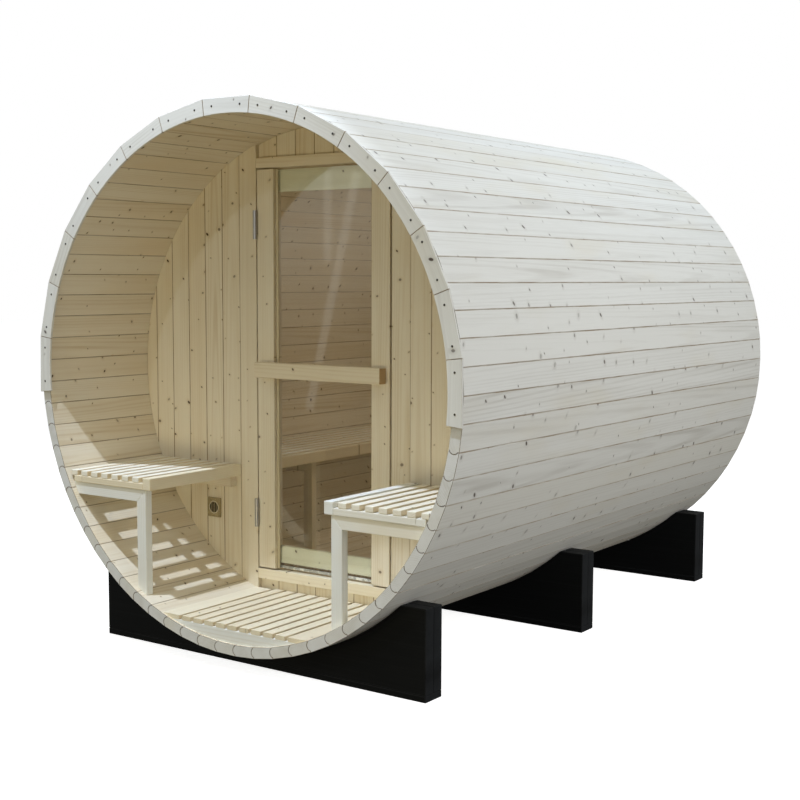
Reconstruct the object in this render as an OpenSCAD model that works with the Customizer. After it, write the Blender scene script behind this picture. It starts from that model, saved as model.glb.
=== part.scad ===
// Barrel sauna with an open porch, a glazed door and three cradles.
// Front faces -Y, the barrel runs along Y, the cradles stand on z = 0.

/* [Barrel] */
// Width of the barrel over the flat faces of its staves
barrel_d = 1830; // [1780:10:1900]
// Length of the staves
barrel_l = 2370; // [2250:10:2600]
// Number of staves round the barrel
stave_count = 69; // [60:1:76]
// Thickness of a stave
stave_t = 38; // [36:1:42]
// Radius of the bead along a stave's edge
bead_r = 17; // [15:0.5:17.5]
// How far the bead stands out of the edge
bead_out = 9; // [6:0.5:11]
// Open joint between two staves
stave_gap = 0.4; // [0.2:0.1:0.8]
// Depth of the croze, the groove that holds an end wall
croze_depth = 10; // [6:1:14]
// Clear height between the floor and the barrel
barrel_clear = 60; // [45:5:80]

/* [Front trim] */
// Number of boards in the front trim ring
trim_count = 15; // [13:1:16]
// Angle that one trim board covers, in degrees
trim_step = 12.72; // [11:0.02:12.9]
// Thickness of a trim board
trim_t = 9; // [6:1:14]
// How far the trim reaches in past the staves' inner face
trim_lap = 12; // [4:1:20]
// Open mitre between two trim boards
trim_gap = 1; // [0.5:0.1:2]
// Turn of the ring to the right of upright, in degrees
trim_turn = 0.5; // [0:0.1:2]

/* [End walls] */
// Depth of the porch, from the stave ends to the front wall
porch_depth = 489; // [440:1:540]
// Thickness of an end wall
wall_t = 38; // [32:1:44]
// Width of a wall board from joint to joint
board_pitch = 87; // [76:1:98]
// Open joint between two wall boards
board_gap = 0.6; // [0.3:0.1:1.2]
// How far the boards over and under the door lie behind the jambs
panel_recess = 16; // [8:1:22]
// Distance of the back wall from the stave ends
back_inset = 60; // [30:5:120]

/* [Door frame] */
// Width of the jamb on the latch side
jamb_w = 78; // [60:1:100]
// Height of the header and of the threshold
frame_rail_h = 38; // [30:1:46]
// Height of the wall over the header, at its middle and inside the staves
head_h = 102.5; // [90:0.5:130]
// Height of the wall under the threshold, at its middle and inside the staves
sill_h = 96.5; // [80:0.5:120]

/* [Door] */
// Width of the door
door_w = 600; // [560:1:620]
// Thickness of the door's stiles
door_t = 45; // [42:1:50]
// Width of a stile
stile_w = 78; // [66:1:92]
// Height of the top rail
top_rail_h = 80; // [60:1:110]
// Height of the bottom rail
bottom_rail_h = 64; // [50:1:90]
// Gap under the bottom rail, which the seal closes
seal_h = 20; // [12:1:30]
// Depth of the glass behind the stile face
glass_set = 18; // [14:1:22]
// Thickness of the glass
glass_t = 8; // [6:1:10]
// Depth of the glass in a stile's groove
glass_lap = 10; // [6:1:15]
// Width of a glazing bead
glazing_bead_w = 11; // [7:1:14]
// Thickness of a glazing bead
glazing_bead_t = 4; // [3:0.5:8]
// Gap between the door and the hinge jamb
hinge_gap = 5; // [5:0.5:8]
// Gap between the door and the latch jamb
latch_gap = 8; // [8:0.5:11]
// Gap over and under the door
door_gap = 6; // [5:0.5:8]

/* [Pull bar] */
// Length of the pull bar
bar_l = 570; // [480:5:585]
// Height of the pull bar
bar_h = 56; // [40:1:70]
// Depth of the pull bar
bar_t = 40; // [30:1:48]
// Height of the pull bar's middle above the barrel's axis
bar_rise = 3; // [-40:1:60]
// Width of the eased edge along the pull bar
bar_ease = 3; // [1:0.5:8]

/* [Hinges] */
// Length of a hinge
hinge_l = 105; // [84:3:126]
// Distance of the upper hinge from the top of the door
hinge_inset = 146; // [90:1:250]
// Outer radius of a hinge knuckle
knuckle_r = 8; // [7:0.5:9]
// Radius of the hinge pin
pin_r = 4; // [3:0.5:5]
// Thickness of a hinge leaf
leaf_t = 2; // [1.5:0.1:2.2]
// Width of a hinge leaf
leaf_w = 32; // [24:1:36]

/* [Wall vent] */
// Width of the vent plate
vent_w = 64; // [56:1:72]
// Height of the vent plate
vent_h = 73; // [60:1:84]
// Thickness of the vent plate
vent_t = 8; // [5:1:14]
// Radius of the round louvre
vent_r = 21; // [16:1:26]
// Number of louvre bars
vent_bars = 4; // [3:1:6]
// Distance of the vent plate from the door frame
vent_gap = 103.5; // [70:0.5:130]
// Height of the vent's middle above the staves below it
vent_rise = 171; // [140:1:220]

/* [Benches] */
// Height of the seats above the porch floor
seat_h = 458; // [420:1:490]
// Distance of a bench's inner edge from the barrel's middle plane
bench_x = 386; // [360:1:420]
// Width of the rail along a bench's inner edge
rail_w = 36; // [28:1:44]
// Height of that rail
rail_h = 43; // [38:1:50]
// Width of a seat slat
slat_w = 33; // [28:0.5:40]
// Gap between two seat slats
slat_gap = 19.5; // [12:0.5:24]
// Thickness of a seat slat
slat_t = 19; // [15:1:24]
// Distance of a porch bench from the stave ends
bench_front = 17; // [8:1:40]
// Space between a bench's outer rail and the staves
bench_clear = 6; // [3:1:12]
// Width of the eased edge along the slats and the inner rails
slat_ease = 2.5; // [1:0.5:5]

/* [Leg frames] */
// Width of a leg and height of the rail mitred to it
leg_w = 43; // [34:1:50]
// Thickness of a leg frame
leg_t = 30; // [24:1:40]
// Distance of a leg from its bench's inner edge
leg_inset = 26; // [10:1:40]
// Distance of the porch leg frames behind the bench's front edge
leg_set = 4; // [2:1:10]
// Distance of the room's leg frames from the end walls
room_leg_y = 412; // [300:1:600]

/* [Porch floor] */
// Height of the floor above the staves, at its middle
floor_rise = 61; // [48:1:90]
// Width of a floor slat
floor_slat_w = 40.5; // [34:0.5:46]
// Gap between two floor slats
floor_gap = 12; // [8:0.5:18]
// Thickness of a floor slat
floor_slat_t = 15; // [12:1:20]
// Number of slats between the two edge boards
floor_slats = 9; // [7:2:9]
// Distance of the floor from the stave ends
floor_front = 8; // [4:1:30]
// Thickness of a floor bearer
bearer_t = 30; // [24:1:40]

/* [Cradles] */
// Length of a cradle across the barrel
cradle_l = 1420; // [1350:10:1500]
// Height of a cradle
cradle_h = 297; // [270:1:330]
// Thickness of one of a cradle's two boards
cradle_board_t = 44.5; // [38:0.5:50]
// Open seam between the two boards
cradle_seam = 1; // [0.5:0.1:3]
// Thickness of the foot batten under the boards
foot_t = 22; // [15:1:30]
// Distance of the front cradle from the front stave ends
cradle_front_y = 114; // [60:1:200]
// Distance of the middle cradle from the front stave ends
cradle_middle_y = 1146; // [1050:1:1250]
// Distance of the back cradle from the back stave ends
cradle_back_inset = 82; // [40:1:200]

/* [Fits] */
// Clearance between pieces that seat on each other
fit_gap = 0.3; // [0.2:0.1:0.5]
// Clearance of a running pin or of parallel hinge knuckles
run_gap = 0.3; // [0.2:0.1:0.4]

/* [Hidden] */
$fn = 64;
// Facets of the circles about the barrel's axis
ring_fn = 720;

// Barrel circle
r_out = barrel_d / 2;
r_in = r_out - stave_t;
r_mid = (r_out + r_in) / 2;
stave_step = 360 / stave_count;
stave_half = stave_step / 2;
r_corner = r_out / cos(stave_half);
r_seat = r_in - fit_gap;
axis_z = barrel_clear + r_corner;
stave_front_y = (trim_t - barrel_l) / 2;

// End walls, as distances behind the front stave ends
r_wall = r_in + croze_depth - fit_gap;
back_wall_y = barrel_l - back_inset - wall_t;
room_y = porch_depth + wall_t;
panel_t = wall_t - panel_recess;

// Door and its frame, as distances from the barrel's axis
jamb_left = -door_w / 2 - hinge_gap;
jamb_right = door_w / 2 + latch_gap;
jamb_reach = jamb_right + jamb_w;
header_top = r_in - head_h;
header_z = header_top - frame_rail_h;
threshold_z = sill_h - r_in;
threshold_top = threshold_z + frame_rail_h;
door_top = header_z - door_gap;
door_bottom = threshold_top + door_gap;
door_h = door_top - door_bottom;
sash_x = door_w / 2 - stile_w;
rail_set = glass_set + glass_t + fit_gap;
bottom_rail_z = door_bottom + seal_h;

// Hinge axis, in the joint between the door and its jamb
hinge_x = -(door_w + hinge_gap) / 2;
hinge_y = porch_depth - knuckle_r - run_gap;
hinge_z = door_top - hinge_inset - hinge_l / 2;
knuckle_l = hinge_l / 3;

// Vent plate, on the wall beside the door
vent_x = jamb_reach + vent_gap + vent_w / 2;
vent_z = vent_rise - chord(r_in, vent_x);
louvre_w = 2 * vent_r / (2 * vent_bars + 1);

// Porch floor
floor_pitch = floor_slat_w + floor_gap;
floor_z = floor_rise - r_in;
floor_bottom = floor_z - floor_slat_t;
edge_board_x = floor_slats * floor_pitch / 2 + floor_gap / 2;

// Benches
slat_pitch = slat_w + slat_gap;
seat_z = floor_z + seat_h;
slat_z = seat_z - slat_t;
frame_z = seat_z - rail_h;
slat_x0 = bench_x + rail_w + slat_gap;
slat_reach = chord(r_seat, slat_z);
slat_n = floor((slat_reach - slat_x0 + slat_gap) / slat_pitch);
outer_rail_x = chord(r_in, frame_z) - bench_clear - rail_w;

// Lengths and cross bearers of the porch benches and of the bench in the room
porch_back = porch_depth - fit_gap;
porch_bearers = [bench_front, (bench_front + porch_back - rail_w) / 2, porch_back - rail_w];
room_front = room_y + fit_gap;
room_back = back_wall_y - fit_gap;
room_frames = [room_y + room_leg_y, back_wall_y - room_leg_y - leg_t];
room_bearers = [room_front, room_frames[0], room_frames[1], room_back - rail_w];

// Cradles
cradle_t = 2 * cradle_board_t + cradle_seam;
saddle_r = r_corner + fit_gap;
cradle_back_y = barrel_l - cradle_back_inset - cradle_t;

// Colours of the finishes
washed = [0.90, 0.89, 0.86];
spruce = [0.86, 0.77, 0.58];
black_paint = [0.10, 0.11, 0.12];
steel = [0.62, 0.63, 0.64];
tinted = [0.62, 0.60, 0.48, 0.4];
khaki = [0.55, 0.50, 0.34];
seal_grey = [0.45, 0.47, 0.46];

// Half the chord of a circle of radius r at height z
function chord(r, z) = sqrt(r * r - z * z);

// Places children measured from the barrel's axis and its front stave ends
module in_barrel() translate([0, stave_front_y, axis_z]) children();

// Extrudes an outline in the XZ plane from y0 over a depth of t
module across(y0, t)
    translate([0, y0 + t, 0]) rotate([90, 0, 0]) linear_extrude(t) children();

// Upright rectangle between two corners of the XZ plane
module panel(x0, z0, x1, z1) translate([x0, z0]) square([x1 - x0, z1 - z0]);

// The same rectangle with its four corners cut off at 45 degrees
module eased_panel(x0, z0, x1, z1, ease) polygon([
    [x0 + ease, z0], [x1 - ease, z0], [x1, z0 + ease], [x1, z1 - ease],
    [x1 - ease, z1], [x0 + ease, z1], [x0, z1 - ease], [x0, z0 + ease]
]);

// The same rectangle, cut to the inside of a circle about the axis
module fitted_panel(x0, z0, x1, z1, r) intersection() {
    panel(x0, z0, x1, z1);
    circle(r, $fn = ring_fn);
}

// Outline of a stave at the right of the barrel: bead below, cove above
module stave_outline() {
    inner = r_in * tan(stave_half) - stave_gap / 2;
    outer = r_out * tan(stave_half) - stave_gap / 2;
    bead_y = bead_r - bead_out;
    difference() {
        union() {
            polygon([[r_in, -inner], [r_out, -outer], [r_out, outer], [r_in, inner]]);
            rotate(-stave_half) translate([r_mid, bead_y]) circle(bead_r);
        }
        rotate(stave_half) translate([r_mid, bead_y]) circle(bead_r + stave_gap);
    }
}

// One stave with a croze for each end wall
module stave(i) {
    groove_w = wall_t + 2 * fit_gap;
    groove_l = 2 * r_out * tan(stave_step);
    rotate([0, -(i + 0.5) * stave_step, 0]) difference() {
        across(0, barrel_l) stave_outline();
        for (y = [porch_depth, back_wall_y])
            translate([r_in - croze_depth, y - fit_gap, -groove_l / 2])
                cube([2 * croze_depth, groove_w, groove_l]);
    }
}

// Number of the first stave in a quarter, from the joint at the right of the axis
function first_stave(k) = floor((k - 0.5) * stave_count / 4 + 0.5);

// A quarter of the barrel, counted from the right, anticlockwise from the front
module staves(k) color(washed) in_barrel()
    for (i = [first_stave(k) : first_stave(k + 1) - 1]) stave(i);

module staves_right() staves(0);
module staves_top() staves(1);
module staves_left() staves(2);
module staves_bottom() staves(3);

// Outline of a trim board about the X axis: straight outside, arc inside
module trim_outline() {
    half = trim_step / 2;
    trim_r = r_in - trim_lap;
    foot = trim_r * cos(trim_step);
    inner = foot * tan(half) - trim_gap / 2;
    outer = r_out * tan(half) - trim_gap / 2;
    difference() {
        polygon([[foot, -inner], [r_out, -outer], [r_out, outer], [foot, inner]]);
        circle(trim_r, $fn = ring_fn);
    }
}

module front_trim_ring() color(washed) in_barrel() across(-trim_t, trim_t)
    for (i = [0 : trim_count - 1])
        rotate(90 - trim_turn + (i - (trim_count - 1) / 2) * trim_step) trim_outline();

// Row of wall boards from x0 outwards, on the right of the axis
module side_boards(x0) {
    boards = ceil((r_wall - x0) / board_pitch);
    for (i = [0 : boards - 1])
        fitted_panel(
            x0 + i * board_pitch + board_gap / 2, -r_wall,
            x0 + (i + 1) * board_pitch - board_gap / 2, r_wall, r_wall
        );
}

// Row of equal wall boards between the jambs, in the height from z0 to z1
module panel_boards(z0, z1) {
    boards = round((jamb_right - jamb_left) / board_pitch);
    pitch = (jamb_right - jamb_left) / boards;
    for (i = [0 : boards - 1])
        fitted_panel(
            jamb_left + i * pitch + board_gap / 2, z0,
            jamb_left + (i + 1) * pitch - board_gap / 2, z1, r_wall
        );
}

module front_wall_left() color(spruce) in_barrel()
    across(porch_depth, wall_t) mirror([1, 0]) side_boards(jamb_reach);

module front_wall_right() color(spruce) in_barrel()
    across(porch_depth, wall_t) side_boards(jamb_reach);

module front_wall_over_door() color(spruce) in_barrel()
    across(porch_depth + panel_recess, panel_t) panel_boards(header_top + fit_gap, r_wall);

module front_wall_under_door() color(spruce) in_barrel()
    across(porch_depth + panel_recess, panel_t) panel_boards(-r_wall, threshold_z - fit_gap);

module door_jambs() color(spruce) in_barrel() across(porch_depth, wall_t) {
    fitted_panel(-jamb_reach, -r_wall, jamb_left, r_wall, r_wall);
    fitted_panel(jamb_right, -r_wall, jamb_reach, r_wall, r_wall);
}

module door_header() color(spruce) in_barrel() across(porch_depth, wall_t)
    panel(jamb_left + fit_gap, header_z, jamb_right - fit_gap, header_top);

module door_threshold() color(spruce) in_barrel() across(porch_depth, wall_t)
    panel(jamb_left + fit_gap, threshold_z, jamb_right - fit_gap, threshold_top);

// Plate with a round louvre of upright bars
module wall_vent() color(khaki) in_barrel() across(porch_depth - vent_t, vent_t)
    translate([-vent_x, vent_z]) {
        difference() {
            square([vent_w, vent_h], center = true);
            circle(vent_r);
        }
        intersection() {
            circle(vent_r + fit_gap);
            for (i = [0 : vent_bars - 1])
                translate([(2 * i - vent_bars + 1) * louvre_w, 0])
                    square([louvre_w, vent_h], center = true);
        }
    }

module back_wall() color(spruce) in_barrel() across(back_wall_y, wall_t) {
    side_boards(board_pitch / 2);
    mirror([1, 0]) side_boards(board_pitch / 2);
    fitted_panel(
        (board_gap - board_pitch) / 2, -r_wall, (board_pitch - board_gap) / 2, r_wall, r_wall
    );
}

// Outline of a cradle board: arc-cut top with a short flat at each end
module cradle_outline() difference() {
    panel(-cradle_l / 2, foot_t + fit_gap, cradle_l / 2, cradle_h);
    translate([0, axis_z]) circle(saddle_r, $fn = ring_fn);
}

// Two arc-cut boards on a foot batten, y measured from the front stave ends
module cradle(y) color(black_paint) translate([0, stave_front_y, 0]) {
    across(y, cradle_board_t) cradle_outline();
    across(y + cradle_board_t + cradle_seam, cradle_board_t) cradle_outline();
    across(y, cradle_t) panel(-cradle_l / 2, 0, cradle_l / 2, foot_t);
}

module cradle_front() cradle(cradle_front_y);
module cradle_middle() cradle(cradle_middle_y);
module cradle_back() cradle(cradle_back_y);

// Slats up to the panel under the door, and bevelled edge boards up to the wall
module porch_floor_slats() color(spruce) in_barrel() {
    across(floor_front, porch_depth + panel_recess - fit_gap - floor_front)
        for (i = [0 : floor_slats - 1])
            translate([(i - (floor_slats - 1) / 2) * floor_pitch, 0])
                eased_panel(-floor_slat_w / 2, floor_bottom, floor_slat_w / 2, floor_z, slat_ease);
    across(floor_front, porch_depth - fit_gap - floor_front)
        for (side = [0, 1])
            mirror([side, 0]) fitted_panel(edge_board_x, floor_bottom, r_seat, floor_z, r_seat);
}

// Circle segments under the slats; the front one shows as a fascia
module porch_floor_bearers() color(spruce) in_barrel() {
    last = porch_depth - fit_gap - bearer_t;
    for (y = [floor_front, (floor_front + last) / 2, last])
        across(y, bearer_t) fitted_panel(-r_seat, -r_seat, r_seat, floor_bottom, r_seat);
}

// Seat slats of a bench on the right
module bench_slats(y0, y1) across(y0, y1 - y0)
    for (i = [0 : slat_n - 1])
        translate([slat_x0 + i * slat_pitch, 0]) eased_panel(0, slat_z, slat_w, seat_z, slat_ease);

// Inner rail, outer rail and the cross bearers at the places in ys
module bench_frame(y0, y1, ys) {
    across(y0, y1 - y0) {
        eased_panel(bench_x, frame_z, bench_x + rail_w, seat_z, slat_ease);
        panel(outer_rail_x, frame_z, outer_rail_x + rail_w, slat_z);
    }
    for (y = ys) across(y, rail_w)
        panel(bench_x + rail_w + fit_gap, frame_z, outer_rail_x - fit_gap, slat_z);
}

// Rail under the bench, cut to the barrel; the mitre goes with a leg
module leg_rail(mitred) {
    cut = 2 * leg_w;
    difference() {
        fitted_panel(bench_x + leg_inset, frame_z - leg_w, r_seat, frame_z, r_seat);
        if (mitred) translate([bench_x + leg_inset, frame_z])
            polygon([[0, 0], [0, -cut], [cut, -cut]]);
    }
}

// Leg down to the barrel, mitred to its rail
module leg_post() {
    cut = 2 * leg_w;
    difference() {
        fitted_panel(bench_x + leg_inset, -r_seat, bench_x + leg_inset + leg_w, frame_z, r_seat);
        translate([bench_x + leg_inset, frame_z - fit_gap])
            polygon([[0, 0], [cut, -cut], [cut, leg_w], [0, leg_w]]);
    }
}

// Leg frames at the places in frames and ledgers on a wall at those in ledgers
module bench_legs(frames, ledgers) {
    for (y = frames) across(y, leg_t) {
        leg_rail(true);
        leg_post();
    }
    for (y = ledgers) across(y, leg_t) leg_rail(false);
}

module porch_bench_slats() color(spruce) in_barrel() bench_slats(bench_front, porch_back);
module porch_bench_frame() color(spruce) in_barrel() bench_frame(bench_front, porch_back, porch_bearers);
module porch_bench_legs() color(spruce) in_barrel()
    bench_legs([bench_front + leg_set], [porch_back - leg_t]);

module right_bench_slats() porch_bench_slats();
module right_bench_frame() porch_bench_frame();
module right_bench_legs() porch_bench_legs();
module left_bench_slats() mirror([1, 0, 0]) porch_bench_slats();
module left_bench_frame() mirror([1, 0, 0]) porch_bench_frame();
module left_bench_legs() mirror([1, 0, 0]) porch_bench_legs();

module inner_bench_slats() color(spruce) mirror([1, 0, 0]) in_barrel()
    bench_slats(room_front, room_back);
module inner_bench_frame() color(spruce) mirror([1, 0, 0]) in_barrel()
    bench_frame(room_front, room_back, room_bearers);
module inner_bench_legs() color(spruce) mirror([1, 0, 0]) in_barrel()
    bench_legs(room_frames, [room_front, room_back - leg_t]);

// Two stiles, each with a groove for the glass
module door_stiles() color(spruce) in_barrel() for (side = [0, 1]) mirror([side, 0, 0]) difference() {
    across(porch_depth, door_t) panel(sash_x, door_bottom, door_w / 2, door_top);
    across(porch_depth + glass_set - fit_gap, glass_t + 2 * fit_gap)
        panel(0, -door_h, sash_x + glass_lap + fit_gap, door_h);
}

// Top and bottom rails behind the glass
module door_rails() color(spruce) in_barrel()
    across(porch_depth + rail_set, door_t - rail_set) {
        panel(fit_gap - sash_x, door_top - top_rail_h, sash_x - fit_gap, door_top);
        panel(fit_gap - sash_x, bottom_rail_z, sash_x - fit_gap, bottom_rail_z + bottom_rail_h);
    }

module door_glass() color(tinted) in_barrel() across(porch_depth + glass_set, glass_t)
    panel(-sash_x - glass_lap, bottom_rail_z, sash_x + glass_lap, door_top);

// Upright strips in front of the glass, along both stiles
module door_glazing_beads() color(spruce) in_barrel()
    across(porch_depth + glass_set - fit_gap - glazing_bead_t, glazing_bead_t)
        for (side = [0, 1]) mirror([side, 0])
            panel(sash_x - glazing_bead_w, door_bottom, sash_x - fit_gap, door_top);

// Plain wooden bar across both stiles
module door_bar() color(spruce) in_barrel() across(porch_depth - bar_t, bar_t)
    eased_panel(-bar_l / 2, bar_rise - bar_h / 2, bar_l / 2, bar_rise + bar_h / 2, bar_ease);

// Strip that closes the gap under the bottom rail
module door_seal() color(seal_grey) in_barrel()
    across(porch_depth + rail_set, door_t - rail_set)
        panel(fit_gap - sash_x, door_bottom, sash_x - fit_gap, bottom_rail_z - fit_gap);

// Leaf against the wood at x_wood, with its knuckles on the hinge axis
module hinge_leaf(x_wood, into, knuckles, bore) {
    x0 = into > 0 ? x_wood : x_wood - leaf_t;
    difference() {
        union() {
            translate([x0, porch_depth + run_gap, -hinge_l / 2]) cube([leaf_t, leaf_w, hinge_l]);
            for (k = knuckles) translate([0, 0, k * knuckle_l - hinge_l / 2 + run_gap]) {
                translate([x0, hinge_y, 0])
                    cube([leaf_t, porch_depth - hinge_y + leaf_w / 2, knuckle_l - 2 * run_gap]);
                translate([hinge_x, hinge_y, 0]) cylinder(r = knuckle_r, h = knuckle_l - 2 * run_gap);
            }
        }
        if (bore) translate([hinge_x, hinge_y, -hinge_l]) cylinder(r = pin_r + run_gap, h = 2 * hinge_l);
    }
}

// Door halves of both hinges, with the middle knuckle
module door_hinge_leaves() color(steel) in_barrel()
    for (side = [-1, 1]) translate([0, 0, side * hinge_z]) hinge_leaf(-door_w / 2, -1, [1], true);

// Frame halves of both hinges, with the outer knuckles and the pin
module frame_hinge_leaves() color(steel) in_barrel()
    for (side = [-1, 1]) translate([0, 0, side * hinge_z]) {
        hinge_leaf(jamb_left, 1, [0, 2], false);
        translate([hinge_x, hinge_y, -hinge_l / 2 + run_gap])
            cylinder(r = pin_r, h = hinge_l - 2 * run_gap);
    }

staves_right();
staves_top();
staves_left();
staves_bottom();
front_trim_ring();
front_wall_left();
front_wall_right();
front_wall_over_door();
front_wall_under_door();
door_jambs();
door_header();
door_threshold();
wall_vent();
back_wall();
cradle_front();
cradle_middle();
cradle_back();
porch_floor_slats();
porch_floor_bearers();
left_bench_slats();
left_bench_frame();
left_bench_legs();
right_bench_slats();
right_bench_frame();
right_bench_legs();
inner_bench_slats();
inner_bench_frame();
inner_bench_legs();
door_stiles();
door_rails();
door_glass();
door_glazing_beads();
door_bar();
door_seal();
door_hinge_leaves();
frame_hinge_leaves();
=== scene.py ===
"""Barrel sauna with an open porch: its staves, walls, door, benches and cradles, ready to render."""

import math
import random

import bmesh
import bpy
from bpy.props import FloatProperty, FloatVectorProperty, IntProperty, PointerProperty
from mathutils import Matrix, Quaternion, Vector


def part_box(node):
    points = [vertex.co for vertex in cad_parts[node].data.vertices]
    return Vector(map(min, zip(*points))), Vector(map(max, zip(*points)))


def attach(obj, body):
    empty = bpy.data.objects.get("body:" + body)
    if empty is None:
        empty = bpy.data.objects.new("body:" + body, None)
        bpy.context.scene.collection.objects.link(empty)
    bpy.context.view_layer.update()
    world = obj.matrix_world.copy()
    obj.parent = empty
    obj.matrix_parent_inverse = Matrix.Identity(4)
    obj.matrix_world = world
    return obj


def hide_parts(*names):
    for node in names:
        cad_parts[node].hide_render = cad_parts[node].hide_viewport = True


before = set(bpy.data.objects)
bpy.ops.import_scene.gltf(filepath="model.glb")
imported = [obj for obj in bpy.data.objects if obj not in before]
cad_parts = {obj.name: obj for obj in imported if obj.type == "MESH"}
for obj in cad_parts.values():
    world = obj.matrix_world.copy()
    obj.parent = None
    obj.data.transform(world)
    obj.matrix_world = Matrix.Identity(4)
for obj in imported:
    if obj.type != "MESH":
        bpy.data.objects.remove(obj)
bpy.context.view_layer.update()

bl_info = {
    "name": "Barrel Sauna",
    "version": (1, 0, 0),
    "blender": (4, 5, 0),
    "location": "3D View > Sidebar > Sauna",
    "description": "Builds the boards, door, benches, cradles and stage of a barrel sauna",
    "category": "Add Mesh",
}

SHELL = "shell"
DOOR = "door"
RIGHT = Vector((1, 0, 0))
BACK = Vector((0, 1, 0))
UP = Vector((0, 0, 1))
# Vertices closer than this are one
WELD = 1e-5
# Steps of a full circle about the barrel's axis
RIM_STEPS = 180
# A step of that circle that ends up shorter than this, beside a corner, is left out
SHORT_STEP = 0.010
# An outline that turns by less than this at a point is round there
ROUND_TURN = math.radians(5.0)
# Edges along a board that are shorter than this share of its longest are steps of its arc
STRAIGHT_SHARE = 0.4
# Two directions are the same, and a face looks one way, from these cosines on
SAME_WAY = 0.999
FACING = 0.9
# Steps round a screw head, and its top and depth as shares of its radius
SCREW_STEPS = 12
SCREW_TOP = 0.8
SCREW_DEPTH = 0.4
# Which sockets of a colour mix hold its two colours and its result
MIX_A = 6
MIX_B = 7
MIX_RESULT = 2
# Staves round the barrel
STAVE_COUNT = 69
AXIS_Z = sum(corner.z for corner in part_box("back_wall")) / 2
# Distance from the axis to a stave's flat face, found from the corner at the right
OUTER_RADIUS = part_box("staves_right")[1].x * math.cos(math.pi / STAVE_COUNT)
STAVE_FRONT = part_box("staves_top")[0].y
STAVE_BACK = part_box("staves_top")[1].y


def length(label, words, size):
    """A length that can be changed."""
    return FloatProperty(name=label, description=words, default=size, unit="LENGTH")


def degrees(label, words, turn):
    """An angle in degrees that can be changed."""
    return FloatProperty(name=label, description=words, default=math.radians(turn), subtype="ANGLE")


def tint(label, words, colour):
    """A colour that can be changed."""
    return FloatVectorProperty(
        name=label, description=words, default=colour, subtype="COLOR", size=3, min=0.0, max=1.0)


def power(label, words, watts):
    """A light's power that can be changed."""
    return FloatProperty(name=label, description=words, default=watts, unit="POWER")


def number(label, words, value):
    """A plain number that can be changed."""
    return FloatProperty(name=label, description=words, default=value)


class BarrelSizes(bpy.types.PropertyGroup):
    """Sizes of the staves, the trim and the boards."""

    stave_count: IntProperty(
        name="Staves", description="Number of staves round the barrel", default=STAVE_COUNT)
    stave_thickness: length("Stave thickness", "Thickness of a stave", 0.038)
    bead_radius: length("Bead radius", "Radius of the bead along a stave", 0.017)
    bead_out: length("Bead height", "How far the bead stands out", 0.009)
    joint_gap: length("Joint gap", "Open joint between two staves", 0.0004)
    stave_ease: length("Stave ease", "Width of the eased edge of a stave", 0.0016)
    end_ease: length("End ease", "Width of the eased end of a stave", 0.0011)
    stave_stray: length("Stave stray", "How far staves stray in height and length", 0.0008)
    trim_count: IntProperty(
        name="Trim boards", description="Number of boards in the trim ring", default=15)
    trim_step: degrees("Trim angle", "Angle that one trim board covers", 12.72)
    trim_turn: degrees("Trim turn", "Turn of the trim ring to the right", 0.5)
    trim_inner: length("Trim inner radius", "Radius of the trim's inner arc", 0.865)
    trim_gap: length("Trim gap", "Open mitre between two trim boards", 0.001)
    trim_screw: length("Trim screw place", "Distance of a screw from the board's middle", 0.061)
    screw_radius: length("Screw radius", "Radius of a screw head", 0.0042)
    board_ease: length("Board ease", "Width of the eased edge of a board", 0.0014)
    slat_ease: length("Slat ease", "Width of the eased edge of a slat", 0.0025)
    fit_gap: length("Fit gap", "Clearance between pieces that seat", 0.0003)


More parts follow.
